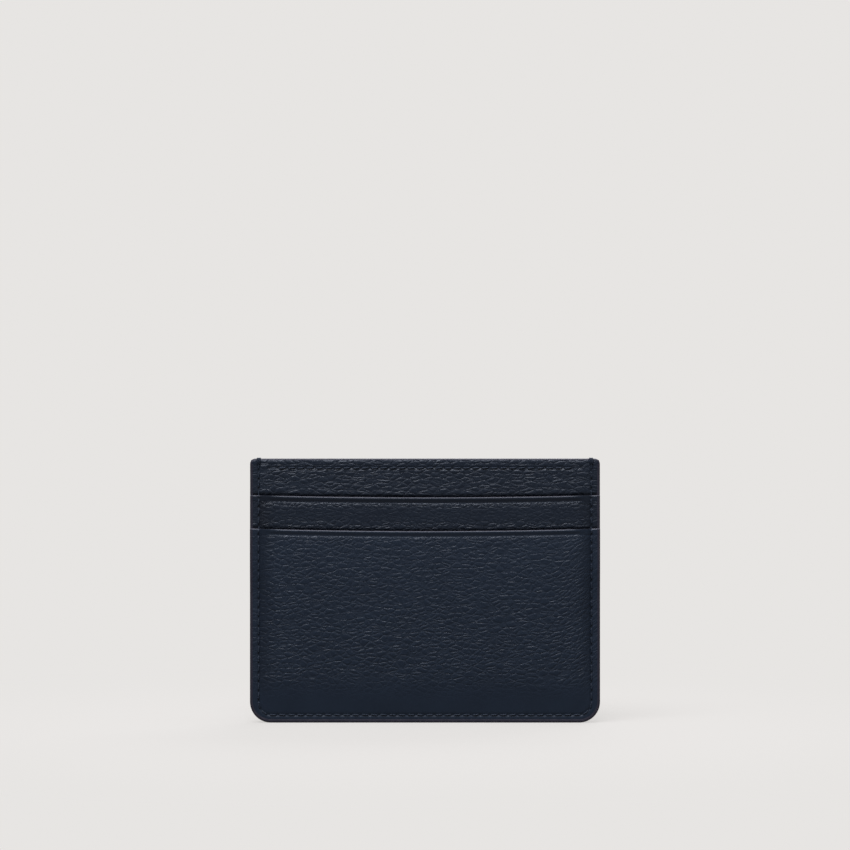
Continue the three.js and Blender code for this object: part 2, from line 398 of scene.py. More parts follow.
def spread(edges, steps):
    """Numbers from the first edge to the last, with that many even steps between neighbours."""
    parts = []
    for low, high, count in zip(edges[:-1], edges[1:], steps):
        parts.append(np.linspace(low, high, count, endpoint=False))
    return np.concatenate(parts + [[edges[-1]]])


def finished(name, vertices, faces, back, node, material, layers=None, angle=50):
    """Writes a mesh object from millimetre points, turned round for the back half.

    layers are vertex attributes for the materials, and edges sharper than angle stay sharp.
    """
    points = np.array(vertices, float)
    if back:
        points = points * (-1, -1, 1)
    mesh = bpy.data.meshes.new(name)
    mesh.from_pydata((points * MM).tolist(), [], faces)
    for label, values in (layers or {}).items():
        attribute = mesh.attributes.new(label, "FLOAT", "POINT")
        attribute.data.foreach_set("value", np.asarray(values, np.float32).ravel())
    work = bmesh.new()
    work.from_mesh(mesh)
    bmesh.ops.recalc_face_normals(work, faces=work.faces)
    work.to_mesh(mesh)
    work.free()
    mesh.shade_smooth()
    mesh.set_sharp_from_angle(angle=math.radians(angle))
    mesh.materials.append(material)
    piece = bpy.data.objects.new(name, mesh)
    bpy.context.collection.objects.link(piece)
    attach(piece, "root")
    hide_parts(node)


def sheet_faces(rows, columns):
    """Faces of a closed sheet: a front grid, a back grid and the rim between them."""
    index = np.arange(rows * columns).reshape(rows, columns)
    corners = (index[:-1, :-1], index[:-1, 1:], index[1:, 1:], index[1:, :-1])
    front = np.stack([c.ravel() for c in corners], axis=1)
    back = front[:, ::-1] + rows * columns
    rim = np.concatenate([index[0, :], index[1:, -1], index[-1, -2::-1], index[-2:0:-1, 0]])
    after = np.roll(rim, -1)
    far = rows * columns
    sides = np.stack([after, rim, rim + far, after + far], axis=1)
    return np.concatenate([front, back, sides]).tolist()


def sheet(name, x, z, front, thickness, back, node, material, layers=None, behind=None):
    """A closed sheet of leather, cloth or board.

    front is the depth of its face at each point. behind, where given, is the face without its
    dents, so that the rear side stays smooth.
    """
    rear = (front if behind is None else behind) - thickness
    near = np.stack([x, -front, z], axis=-1).reshape(-1, 3)
    far = np.stack([x, -rear, z], axis=-1).reshape(-1, 3)
    points = np.concatenate([near, far])
    doubled = {k: np.concatenate([v.ravel(), v.ravel()]) for k, v in (layers or {}).items()}
    faces = sheet_faces(*x.shape)
    finished(name, points, faces, back, node, material, doubled)


def columns_across(middle_step=0.42, edge_step=0.2):
    """Places across the width from -1 to 1, closer together in the outer 6 mm by the side seams."""
    zone = 6.0
    fine = round(zone / edge_step)
    coarse = round(2 * (HALF_WIDTH - zone) / middle_step)
    edges = (-HALF_WIDTH, zone - HALF_WIDTH, HALF_WIDTH - zone, HALF_WIDTH)
    return spread(edges, (fine, coarse, fine)) / HALF_WIDTH


def rounded_rows(count):
    """Heights up the rounded bottom corners, closer together at the bottom."""
    turn = np.linspace(0, math.pi / 2, count, endpoint=False)
    return EDGE_COVER + (BOTTOM_CORNER - EDGE_COVER) * (1 - np.cos(turn))


def strip_columns(columns, rows):
    """The x of each point of a grid whose sides are upright."""
    return np.repeat((columns * (HALF_WIDTH - EDGE_COVER))[None, :], rows, axis=0)


def pocket_grid(columns, low_rows, upper_shares, top_of):
    """Points over a full pocket: level rows round the corners, then rows that follow the mouth.

    top_of gives the height of the top edge at each x.
    """
    low_z = np.repeat(low_rows[:, None], len(columns), axis=1)
    low_x = columns[None, :] * half_width_at(low_rows, EDGE_COVER)[:, None]
    high_x = strip_columns(columns, len(upper_shares))
    high_z = BOTTOM_CORNER + (top_of(high_x) - BOTTOM_CORNER) * upper_shares[:, None]
    return np.concatenate([low_x, high_x]), np.concatenate([low_z, high_z])


def level(height):
    """A top edge at one height all along, for pocket_grid."""
    return lambda x: np.full_like(x, height)


def tube_faces(rings, sides):
    """Faces of a closed tube: the wall from ring to ring, and a cap at each end."""
    faces = []
    for ring in range(rings - 1):
        for k in range(sides):
            a = ring * sides + k
            b = ring * sides + (k + 1) % sides
            faces.append((a, b, b + sides, a + sides))
    faces.append(tuple(range(sides))[::-1])
    faces.append(tuple(range((rings - 1) * sides, rings * sides)))
    return faces


def swept(name, centres, outward, profiles, back, node, material, dull_and_shade=None):
    """A closed bead of paint through profiles of (outward, depth) pairs, one at each centre (x, z).

    dull_and_shade is how matt the paint is at each centre, and how much painted shade it has.
    """
    rings = []
    for (cx, cz), (ox, oz), profile in zip(centres, outward, profiles):
        rings.append([(cx + ox * o, -d, cz + oz * o) for o, d in profile])
    sides = len(rings[0])
    points = np.array(rings).reshape(-1, 3)
    faces = tube_faces(len(rings), sides)
    if dull_and_shade is None:
        dull_and_shade = np.zeros(len(rings))
    layers = {"dull_and_shade": np.repeat(dull_and_shade, sides)}
    finished(name, points, faces, back, node, material, layers, angle=60)


# ---- Materials ----


class Shader:
    """A material's node tree, with short ways to add and join nodes."""

    def __init__(self, name):
        self.material = bpy.data.materials.new(name)
        self.material.use_nodes = True
        self.tree = self.material.node_tree
        self.surface = self.tree.nodes["Principled BSDF"]

    def add(self, kind, inputs=None, **settings):
        """A new node, with its inputs joined or set and its settings made."""
        node = self.tree.nodes.new(kind)
        for key, value in settings.items():
            setattr(node, key, value)
        for key, value in (inputs or {}).items():
            self.join(value, node.inputs[key])
        return node

    def join(self, value, socket):
        """Links another node's output to the socket, or sets the socket to a constant."""
        if isinstance(value, bpy.types.NodeSocket):
            self.tree.links.new(value, socket)
        else:
            socket.default_value = value

    def maths(self, operation, a, b, clamp=False):
        node = self.add("ShaderNodeMath", {0: a, 1: b}, operation=operation, use_clamp=clamp)
        return node.outputs[0]

    def span(self, value, low, high, to_low=0.0, to_high=1.0, soft=True):
        """The value's way from low to high, as a number from to_low to to_high."""
        kind = "SMOOTHSTEP" if soft else "LINEAR"
        inputs = {"Value": value, "From Min": low, "From Max": high}
        inputs.update({"To Min": to_low, "To Max": to_high})
        return self.add("ShaderNodeMapRange", inputs, interpolation_type=kind).outputs[0]

    def blend(self, share, a, b):
        """Colour a, with a share of colour b. A Mix node's colours are inputs 6 and 7, output 2."""
        node = self.add("ShaderNodeMix", data_type="RGBA")
        self.join(share, node.inputs[0])
        self.join(a, node.inputs[6])
        self.join(b, node.inputs[7])
        return node.outputs[2]

    def place(self, stretch=(1, 1, 1)):
        """The point's own place in metres, stretched along each axis."""
        coordinates = self.add("ShaderNodeTexCoord").outputs["Object"]
        node = self.add("ShaderNodeVectorMath", {0: coordinates}, operation="MULTIPLY")
        node.inputs[1].default_value = stretch
        return node.outputs[0]

    def noise(self, place, size_mm, detail=2.0):
        inputs = {"Vector": place, "Scale": 1 / (size_mm * MM), "Detail": detail}
        return self.add("ShaderNodeTexNoise", inputs)

    def attribute(self, name):
        """A layer of numbers that was stored on the mesh."""
        return self.add("ShaderNodeAttribute", attribute_name=name).outputs["Fac"]

    def finish(self, color, roughness, height, relief_mm, strength):
        """Joins the colour, the roughness and a bump of that relief to the surface."""
        self.join(color, self.surface.inputs["Base Color"])
        self.join(roughness, self.surface.inputs["Roughness"])
        inputs = {"Height": height, "Strength": strength, "Distance": relief_mm * MM}
        bump = self.add("ShaderNodeBump", inputs)
        self.join(bump.outputs[0], self.surface.inputs["Normal"])
        return self.material


def cells(shader, place, size_mm, line):
    """Low pebbles: 1 over each cell, sloping down to 0 in the creases between cells.

    line is how wide a crease's slope is, as a share of the cell size.
    """
    inputs = {"Vector": place, "Scale": 1 / (size_mm * MM)}
    voronoi = shader.add("ShaderNodeTexVoronoi", inputs, feature="DISTANCE_TO_EDGE")
    share = shader.span(voronoi.outputs["Distance"], 0.0, line, soft=False)
    rounding = shader.maths("SUBTRACT", 1.5, shader.maths("MULTIPLY", share, 0.5))
    return shader.maths("MULTIPLY", share, rounding)


def warped(shader, place, size_mm, amount_mm):
    """The same place pushed about by noise, so that creases run unevenly."""
    noise = shader.noise(place, size_mm)
    centred = shader.add("ShaderNodeVectorMath", {0: noise.outputs["Color"]}, operation="SUBTRACT")
    centred.inputs[1].default_value = (0.5, 0.5, 0.5)
    scaled = shader.add("ShaderNodeVectorMath", {0: centred.outputs[0]}, operation="SCALE")
    scaled.inputs["Scale"].default_value = amount_mm * MM * 2
    moved = shader.add("ShaderNodeVectorMath", {0: place, 1: scaled.outputs[0]}, operation="ADD")
    return moved.outputs[0]


def bent_place(shader, stretch):
    """A place for grain drawn out across the width, with its rows curving up by the right seam."""
    coordinates = shader.add("ShaderNodeTexCoord").outputs["Object"]
    parts = shader.add("ShaderNodeSeparateXYZ", {0: coordinates})
    past = shader.maths("SUBTRACT", parts.outputs["X"], GRAIN_BEND_START * MM)
    past = shader.maths("MAXIMUM", past, 0.0)
    rise = shader.maths("MULTIPLY", shader.maths("MULTIPLY", past, past), GRAIN_BEND / MM)
    across = shader.maths("MULTIPLY", parts.outputs["X"], stretch)
    up = shader.maths("SUBTRACT", parts.outputs["Z"], rise)
    return shader.add("ShaderNodeCombineXYZ", {"X": across, "Z": up}).outputs[0]


def leather(name, cell_mm, relief_mm, stretch, piece_shade, bends=False):
    """Dark navy calf leather with a pebbled grain drawn out across the width.

    Mesh layers say how strong the grain is, how much painted shade the leather has and where its cells
    are fine.
    piece_shade is a share of painted shade all over the piece, and bends lets the rows curve by the
    right seam.
    """
    s = Shader(name)
    flat = bent_place(s, stretch) if bends else s.place((stretch, 0.0, 1.0))

    # Creases between large cells, worn in places, with patches of finer wrinkles.
    swayed = warped(s, flat, cell_mm * 1.5, cell_mm * 0.4)
    wavy = warped(s, swayed, cell_mm * 0.5, cell_mm * 0.1)
    large = cells(s, wavy, cell_mm, 0.33)
    worn = s.span(s.noise(flat, cell_mm * 1.6).outputs["Fac"], 0.3, 0.6, 0.8, 1.0)
    small = cells(s, wavy, cell_mm * 0.52, 0.32)
    patches = s.span(s.noise(flat, cell_mm * 2.6).outputs["Fac"], 0.38, 0.58, 0.0, 0.35)
    patches = s.maths("MAXIMUM", patches, s.maths("MULTIPLY", s.attribute("fine"), 0.8))
    creases = s.maths("MULTIPLY", s.maths("SUBTRACT", 1.0, large), worn)
    wrinkles = s.maths("MULTIPLY", s.maths("SUBTRACT", 1.0, small), patches)
    sunk = s.maths("MULTIPLY", s.maths("MAXIMUM", creases, wrinkles), s.attribute("grain"))
    pores = s.noise(s.place(), 0.3).outputs["Fac"]
    height = s.maths("SUBTRACT", s.maths("MULTIPLY", pores, 0.03), sunk)

    # A slightly uneven tone, with a painted highlight along the creases, and painted shade from the
    # mesh's shade layer and the piece's own share.
    tone = s.noise(flat, 7.0, 3.0).outputs["Fac"]
    base = s.blend(s.span(tone, 0.3, 0.7), LEATHER_DARK, LEATHER_LIGHT)
    crease_highlight = s.maths("MULTIPLY", s.maths("POWER", sunk, 2.0), CREASE_HIGHLIGHT_SHARE)
    base = s.blend(crease_highlight, base, PAINTED_CREASE_HIGHLIGHT)
    # Painted shade: the mesh's shade layer, and a share over the whole piece.
    dark = s.maths("MULTIPLY", s.attribute("shade"), 0.85)
    color = s.blend(s.maths("ADD", dark, piece_shade, clamp=True), base, PAINTED_SHADE_TONE)
    gloss = s.noise(s.place(), 1.1, 3.0).outputs["Fac"]
    roughness = s.span(gloss, 0.25, 0.75, 0.38, 0.45, soft=False)
    return s.finish(color, roughness, height, relief_mm, 1.0)


def edge_paint(name):
    """Smooth paint, a little uneven, worn lighter in places, and matt with painted shade where a seam
    holds it flat.
    """
    s = Shader(name)
    waves = s.noise(s.place(), 1.6, 3.0).outputs["Fac"]
    specks = s.noise(s.place(), 0.3).outputs["Fac"]
    color = s.blend(s.span(waves, 0.35, 0.7), PAINT_DARK, PAINT_WORN)
    dull_and_shade = s.attribute("dull_and_shade")
    # Painted shade where a seam holds the bead flat.
    color = s.blend(s.maths("MULTIPLY", dull_and_shade, 0.9), color, PAINTED_SHADE_TONE)
    roughness = s.span(specks, 0.3, 0.7, 0.38, 0.5, soft=False)
    roughness = s.maths("ADD", roughness, s.maths("MULTIPLY", dull_and_shade, 0.5))
    height = s.maths("ADD", s.maths("MULTIPLY", waves, 0.7), s.maths("MULTIPLY", specks, 0.15))
    return s.finish(color, roughness, height, 0.08, 0.7)


def thread(name):
    """Twisted navy sewing thread, with its fibres running aslant."""
    s = Shader(name)
    inputs = {"Vector": s.place(), "Scale": TWIST_SCALE, "Distortion": 2.0}
    twist = s.add("ShaderNodeTexWave", inputs, bands_direction="DIAGONAL").outputs["Fac"]
    fuzz = s.noise(s.place(), 0.08).outputs["Fac"]
    color = s.blend(twist, THREAD_DARK, THREAD_LIGHT)
    height = s.maths("ADD", twist, s.maths("MULTIPLY", fuzz, 0.4))
    roughness = s.span(fuzz, 0.3, 0.7, 0.6, 0.75, soft=False)
    return s.finish(color, roughness, height, 0.04, 0.8)


def woven(name):
    """Woven lining cloth, with ribs across and up it and thicker threads here and there."""
    s = Shader(name)
    inputs = {"Vector": s.place(), "Scale": WEAVE_SCALE}
    across = s.add("ShaderNodeTexWave", inputs, bands_direction="X").outputs["Fac"]
    up = s.add("ShaderNodeTexWave", inputs, bands_direction="Z").outputs["Fac"]
    check = s.maths("MULTIPLY", across, up)
    height = s.maths("SUBTRACT", s.maths("MAXIMUM", across, up), s.maths("MULTIPLY", check, 0.5))
    slubs = s.noise(s.place((1, 1, 4)), 2.0).outputs["Fac"]
    color = s.blend(s.maths("MULTIPLY", height, slubs), CLOTH_DARK, CLOTH_LIGHT)
    roughness = s.span(slubs, 0.2, 0.8, 0.75, 0.9, soft=False)
    return s.finish(color, roughness, height, 0.06, 0.7)


def fibre_board(name):
    """Pressed fibre board, hidden inside the panels."""
    s = Shader(name)
    fibres = s.noise(s.place((1, 1, 0.3)), 0.5, 4.0).outputs["Fac"]
    color = s.blend(fibres, BOARD_DARK, BOARD_LIGHT)
    roughness = s.span(fibres, 0.2, 0.8, 0.85, 0.95, soft=False)
    return s.finish(color, roughness, fibres, 0.05, 0.6)


# ---- Pieces of one half ----


def panel_piece(side, back, material):
    """The panel. Only its top band shows, so its rows are fine there and coarse below."""
    columns = columns_across()
    shares = spread((0, 0.8, 0.97, 1.0), (26, 34, 12))

    def top_of(x):
        """The top edge, with its rounded corners."""
        to_corner = np.abs(x) - (HALF_WIDTH - TOP_CORNER)
        turn = np.clip(to_corner, 0, TOP_CORNER - EDGE_COVER)
        rounded = np.sqrt((TOP_CORNER - EDGE_COVER) ** 2 - turn**2)
        return HEIGHT - TOP_CORNER + rounded

    x, z = pocket_grid(columns, rounded_rows(16), shares, top_of)
    inside, along = seam_place(x, z)
    smooth_face = panel_depth(x, z)

    # The top row's dents end with the row, and the leather swells a little just below it.
    row_end = smooth((TOP_ROW_HALF + 0.6 - np.abs(x)) / 0.5)
    row_distance = z - TOP_ROW_HEIGHT
    dents = stitch_dents(inside, along) + stitch_dents(row_distance, x) * row_end
    swell = 0.04 * bell((row_distance + 0.7) / 0.45) * row_end

    # The leather thins at the painted top, and is pressed in above the pocket's mouth, with painted
    # shade there.
    edge = 0.14 * bell((top_of(x) - z) / 0.35)
    above = z - mouth_at(x, UPPER_MOUTH, UPPER_SAG)
    front = smooth_face - dents + swell - edge - edge_drop(x, z) - mouth_sink(above, 0.35)
    # Painted shade round the needle holes and just above the pocket's mouth.
    shade = np.maximum(hole_shade(inside, along), hole_shade(row_distance, x) * row_end)
    shade = np.maximum(shade, 0.9 * bell(above / 0.75))
    grain = 0.6 + 0.4 * smooth((inside + 0.3) / 1.2)
    layers = {"grain": grain, "shade": shade, "fine": np.zeros_like(x)}
    sheet(f"{side}_panel_leather", x, z, front, PANEL_FACE - PANEL_BACK, back, f"{side}_panel",
          material, layers, behind=smooth_face - edge)


def upper_pocket_piece(side, back, material):
    """The upper pocket's leather strip."""
    columns = columns_across()
    shares = spread((0, 0.45, 0.9, 1.0), (10, 28, 18))
    x = strip_columns(columns, len(shares))
    top = mouth_at(x, UPPER_MOUTH, UPPER_SAG) + LIP_RISE - PAINT_LAP
    z = STRIP_BOTTOM + (top - STRIP_BOTTOM) * shares[:, None]
    inside, along = seam_place(x, z)
    below = top + PAINT_LAP - z
    above = z - mouth_at(x, LOWER_MOUTH, LOWER_SAG)
    smooth_face = upper_depth(x, z)
    front = smooth_face - stitch_dents(inside, along) + mouth_relief(below, x) - lip_roll(below, inside)
    front = front - edge_drop(x, z) - mouth_sink(above, 0.3)
    # Painted shade round the needle holes, just above the lower pocket's mouth, in the heat crease and
    # inside the side seams.
    shade = np.maximum(hole_shade(inside, along), 0.9 * bell(above / 0.7))
    shade = np.maximum(shade, crease_shade(below, inside))
    shade = np.maximum(shade, seam_shade(x))

    # The grain is strongest under the lip and just above the lower mouth, and weak in between.
    near_lip = bell((below - 2.1) / 0.8)
    near_pocket = smooth(1 - above / 4.2)
    near_seam = smooth(1 - inside / 7)
    strength = np.clip(0.45 + 0.75 * near_lip + 0.8 * near_pocket + 0.2 * near_seam, 0, 1)
    grain = strength * smooth((below - CREASE_DROP) / 0.3) * (0.65 + 0.35 * smooth(inside / 3))
    fine = np.maximum(bell((below - 2.0) / 0.6), 0.5 * bell((above - 0.6) / 0.8))
    layers = {"grain": grain, "shade": shade, "fine": fine}
    sheet(f"{side}_upper_pocket_leather", x, z, front, UPPER_LEATHER, back, f"{side}_upper_pocket",
          material, layers, behind=smooth_face)


def lower_lip(x):
    """Height of the lower pocket's painted lip."""
    return mouth_at(x, LOWER_MOUTH, LOWER_SAG) + LOWER_LIP_RISE


def lower_pocket_piece(side, back, material):
    """The lower pocket's leather, which is most of what shows."""
    shares = spread((0, 0.93, 1.0), (104, 24))
    x, z = pocket_grid(columns_across(), rounded_rows(28), shares, lambda at: lower_lip(at) - PAINT_LAP)
    inside, along = seam_place(x, z)
    below = lower_lip(x) - z
    smooth_face = lower_depth(x, z)
    front = smooth_face - stitch_dents(inside, along) + mouth_relief(below, x) - lip_roll(below, inside)
    front = front - edge_drop(x, z)
    # Painted shade round the needle holes, less of it in the bottom row, in the heat crease and inside
    # the side seams.
    shade = hole_shade(inside, along, smooth((4.5 - z) / 1.5))
    shade = np.maximum(shade, crease_shade(below, inside))
    shade = np.maximum(shade, seam_shade(x) * smooth((z - 5) / 9))

    # The grain fades out towards the bottom, the lip and the side seams, and a little upwards.
    bottom_fade = smooth((z - 5) / 10)
    worn_top = 1 - 0.2 * smooth((z - 18) / 32)
    grain = bottom_fade * worn_top * smooth((below - CREASE_DROP) / 0.3)
    grain = grain * (0.6 + 0.4 * smooth(inside / 4))
    layers = {"grain": grain, "shade": shade, "fine": bell((below - 2.0) / 0.6)}
    sheet(f"{side}_lower_pocket_leather", x, z, front, LOWER_LEATHER, back, f"{side}_lower_pocket",
          material, layers, behind=smooth_face)


def panel_layers(side, back, cloth, board):
    """The lining behind the panel, and the smaller stiffener between them."""
    columns = columns_across(2.0, 1.0)
    shares = spread((0, 0.9, 1.0), (20, 10))
    x, z = pocket_grid(columns, rounded_rows(8), shares, level(HEIGHT - LINING_SHORT))
    bow = panel_depth(x, z) - PANEL_FACE
    sheet(f"{side}_lining_cloth", x, z, LINING_BACK + bow, LINING_BACK - LINING_FACE, back,
          f"{side}_lining", cloth)

    inset = columns * STIFFENER_WIDTH
    low_rows = rounded_rows(8) + STIFFENER_RAISED
    x, z = pocket_grid(inset, low_rows, shares, level(HEIGHT - STIFFENER_SHORT))
    bow = panel_depth(x, z) - PANEL_FACE
    sheet(f"{side}_stiffener_board", x, z, PANEL_BACK + bow, PANEL_BACK - LINING_BACK, back,
          f"{side}_stiffener", board)


def upper_pocket_slip(side, back, cloth):
    """The slip, bonded behind the upper strip and hanging loose below it, down to its tack seam."""
    heights = spread((SLIP_LOW[2], SLIP_HIGH[2]), (40,))
    x, z = np.meshgrid(columns_across(2.0, 1.0) * SLIP_HIGH[0], heights)
    behind_strip = upper_depth(x, z) - UPPER_LEATHER
    bow = SLIP_BOW * ease_out((z - SLIP_LOW[2]) / SLIP_BOW_SPAN)
    hanging = PANEL_FACE + SLIP_CLEARANCE + bow
    hanging = hanging * smooth((HALF_WIDTH - 2 - np.abs(x)) / 3)
    hanging = np.maximum(hanging, panel_depth(x, z) + CLOTH)
    face = np.where(z > STRIP_BOTTOM, behind_strip, hanging)
    sheet(f"{side}_upper_pocket_slip_cloth", x, z, face, CLOTH, back, f"{side}_upper_pocket_slip",
          cloth)


def lower_pocket_lining(side, back, cloth):
    """The cloth bonded behind the lower pocket, ending just below its mouth."""
    columns = columns_across(2.0, 1.0)
    shares = spread((0, 0.9, 1.0), (20, 10))
    x, z = pocket_grid(columns, rounded_rows(8), shares,
                       lambda at: mouth_at(at, LOWER_MOUTH, LOWER_SAG) - POCKET_LINING_SHORT)
    face = lower_depth(x, z) - LOWER_LEATHER
    sheet(f"{side}_lower_pocket_lining_cloth", x, z, face, CLOTH, back, f"{side}_lower_pocket_lining",
          cloth)


def bead_profile(front, rear, height, drop):
    """A rounded bead over an edge: up the rear, round the top and down the front."""
    middle = (front + rear) / 2
    reach = (front - rear) / 2
    dome = []
    for turn in np.linspace(0, math.pi, 7):
        dome.append((height * math.sin(turn), middle - reach * math.cos(turn)))
    return [(-drop, rear + BEAD_TUCK)] + dome + [(-drop, front - BEAD_TUCK)]


# For each pocket's mouth: its face, the layers under its paint, its height, sag and lip rise.
MOUTHS = {
    "upper_pocket": (upper_depth, UPPER_LEATHER, UPPER_MOUTH, UPPER_SAG, LIP_RISE),
    "lower_pocket": (lower_depth, LOWER_LEATHER + CLOTH, LOWER_MOUTH, LOWER_SAG, LOWER_LIP_RISE),
}


def mouth_paint(side, back, material, pocket):
    """The bead of paint along a pocket's mouth, a little uneven and drawn in at the side seams."""
    depth_of, layers_mm, mouth, sag, rise = MOUTHS[pocket]
    centres = []
    profiles = []
    dull_and_shade = []
    for x in columns_across(1.0, 0.3) * (HALF_WIDTH - 0.05):
        top = float(mouth_at(x, mouth, sag))
        face = float(depth_of(x, top - PAINT_READ))
        inside, _ = seam_place(np.array(x), np.array(top))
        front = face - 0.05 - 0.16 * float(bell(inside / 0.45))
        wander = 0.02 * math.sin(x * 1.3) + 0.015 * math.sin(x * 3.1 + 1)
        height = MOUTH_BEAD_HEIGHT + wander * 0.5
        profiles.append(bead_profile(front, face - layers_mm, height, MOUTH_BEAD_DROP + wander))
        centres.append((x, top + rise - MOUTH_BEAD_HEIGHT))
        # How matt the bead is beside the seams, and how much painted shade it has there.
        dull_and_shade.append(held_flat(inside))
    outward = [(0, 1)] * len(centres)
    swept(f"{side}_{pocket}_edge_paint_bead", centres, outward, profiles, back,
          f"{side}_{pocket}_edge_paint", material, dull_and_shade)


def top_paint(side, back, material):
    """The paint over a panel's top edge and round its top corners."""
    corner = HALF_WIDTH - TOP_CORNER
    turns = np.linspace(0, math.pi / 2, 9)
    run = spread((corner, corner - 4, 4 - corner, -corner), (14, 80, 14))[1:-1]
    route = []
    for t in turns:
        way = (math.cos(t), math.sin(t))
        route.append(((corner + TOP_CORNER * way[0], CORNER_TOP + TOP_CORNER * way[1]), way))
    for x in run:
        route.append(((x, HEIGHT), (0, 1)))
    for t in turns:
        way = (-math.sin(t), math.cos(t))
        route.append(((-corner + TOP_CORNER * way[0], CORNER_TOP + TOP_CORNER * way[1]), way))
    centres = []
    profiles = []
    for (x, z), (ox, oz) in route:
        inside, _ = seam_place(np.array(x), np.array(z - PAINT_READ))
        bow = PANEL_CROWN * float(ease_out(inside / PANEL_RAMP))
        front = PANEL_FACE + bow - 0.1 - 0.14 * float(bell(inside / 0.4))
        rear = LINING_FACE * float(smooth((inside + 0.5) / 2))
        profiles.append(bead_profile(front, rear, TOP_BEAD_HEIGHT, TOP_BEAD_DROP))
        centres.append((x - TOP_BEAD_HEIGHT * ox, z - TOP_BEAD_HEIGHT * oz))
    outward = [way for _, way in route]
    swept(f"{side}_panel_edge_paint_bead", centres, outward, profiles, back,
          f"{side}_panel_edge_paint", material)


def perimeter_profile(front, rear, reach):
    """The painted edge from the front face over to the back face, as (outward, depth) pairs.

    reach is how far the paint comes in over the leather.
    """
    shoulder = [(-reach, -0.08), (0.2 - reach, 0.0), (-0.5, 0.02), (-0.34, 0.01)]
    shoulder += [(-0.18, -0.06), (-0.07, -0.2), (-0.01, -0.4)]
    over = [(o, front + d) for o, d in shoulder]
    under = [(o, rear - d) for o, d in reversed(shoulder)]
    return over + [(0.0, 0.35 * front), (0.0, 0.35 * rear)] + under


def perimeter_paint(material):
    """The paint on both sides and the bottom, with close rows where it steps at each mouth."""
    steps = []
    for mouth in (LOWER_MOUTH, UPPER_MOUTH):
        steps += [mouth - 0.35, mouth - 0.15, mouth - 0.02, mouth + 0.12]
    plain = spread((BOTTOM_CORNER, STRIP_BOTTOM - 10, CORNER_TOP), (30, 50))
    heights = np.unique(np.concatenate([plain, steps]))
    turns = np.linspace(0, math.pi / 2, 20)
    corner = HALF_WIDTH - BOTTOM_CORNER
    right = [((HALF_WIDTH, z), (1, 0)) for z in heights[::-1]]
    for t in turns[1:-1]:
        place = (corner + BOTTOM_CORNER * math.cos(t), BOTTOM_CORNER * (1 - math.sin(t)))
        right.append((place, (math.cos(t), -math.sin(t))))
    bottom = [((x, 0), (0, -1)) for x in np.linspace(corner, -corner, 120)]
    left = [((-x, z), (-ox, oz)) for (x, z), (ox, oz) in reversed(right)]
    route = right + bottom + left
    centres = [place for place, _ in route]
    outward = [way for _, way in route]
    profiles = []
    for (x, z), (ox, oz) in route:
        read_x = x - PAINT_READ * ox
        read_z = z - PAINT_READ * oz
        front = float(face_depth(read_x, read_z)) + PAINT_THICKNESS
        rear = -float(face_depth(-read_x, read_z)) - PAINT_THICKNESS
        profiles.append(perimeter_profile(front, rear, PERIMETER_BEAD_REACH - 0.3 * min(oz, 0)))
    swept("perimeter_edge_paint_bead", centres, outward, profiles, False, "perimeter_edge_paint",
          material)


# ---- Stitches ----


def stitch(route):
    """Vertices and faces of a short twisted thread along the route, closed at both ends."""
    points = [Vector(p) for p in route]
    vertices = []
    for i, centre in enumerate(points):
        before = points[max(i - 1, 0)]
        after = points[min(i + 1, len(points) - 1)]
        ahead = (after - before).normalized()
        out = Vector((0, -1, 0))
        across = ahead.cross(out).normalized()
        out = across.cross(ahead).normalized()
        share = abs(2 * i / (len(points) - 1) - 1)
        width = THREAD_RADIUS * math.sqrt(max(1 - share**6, 0.04))
        for k in range(THREAD_SIDES):
            turn = math.tau * k / THREAD_SIDES
            ply = 1 + 0.14 * math.cos(2 * (turn - 1.1 * i))
            offset = across * math.cos(turn) + out * math.sin(turn)
            vertices.append(centre + offset * width * ply)
    return vertices, tube_faces(len(points), THREAD_SIDES)


def stitch_route(middle, way, depth_at, slant=STITCH_SLANT):
    """A stitch's path: out of one needle hole, over the leather and into the next."""
    cx, cz = middle
    wx, wz = way
    route = []
    for t in np.linspace(-1, 1, STITCH_STEPS):
        along = t * STITCH_LENGTH / 2
        aside = slant * t
        x = cx + wx * along - wz * aside
        z = cz + wz * along + wx * aside
        lift = STITCH_LIFT * (1 - t**4) - STITCH_SINK * t**6
        route.append((x, -(float(depth_at(x, z)) + lift), z))
    return route


def joined_stitches(name, routes, back, node, material):
    """All stitches of a row as one piece."""
    vertices = []
    faces = []
    for route in routes:
        new_vertices, new_faces = stitch(route)
        start = len(vertices)
        vertices += new_vertices
        faces += [tuple(start + v for v in face) for face in new_faces]
    finished(name, vertices, faces, back, node, material, angle=80)


def seam_stitches(name, back, node, material):
    """The main seam's stitches on one face, with the thread's turns over the top edge."""
    length = SEAM_X - SEAM_CORNER + SEAM_QUARTER + HEIGHT - SEAM_BOTTOM - SEAM_CORNER
    routes = []
    count = int((length - SEAM_END) / STITCH_PITCH)
    for k in range(count):
        (x, z), (wx, wz) = seam_point((k + 0.5) * STITCH_PITCH)
        routes.append(stitch_route((x, z), (wx, wz), face_depth))
        routes.append(stitch_route((-x, z), (wx, -wz), face_depth, -STITCH_SLANT))
    for across in (-SEAM_X, SEAM_X):
        for shift in (-WRAP_SPACING, 0, WRAP_SPACING):
            routes.append(wrap_route(across + shift))
    joined_stitches(name, routes, back, node, material)


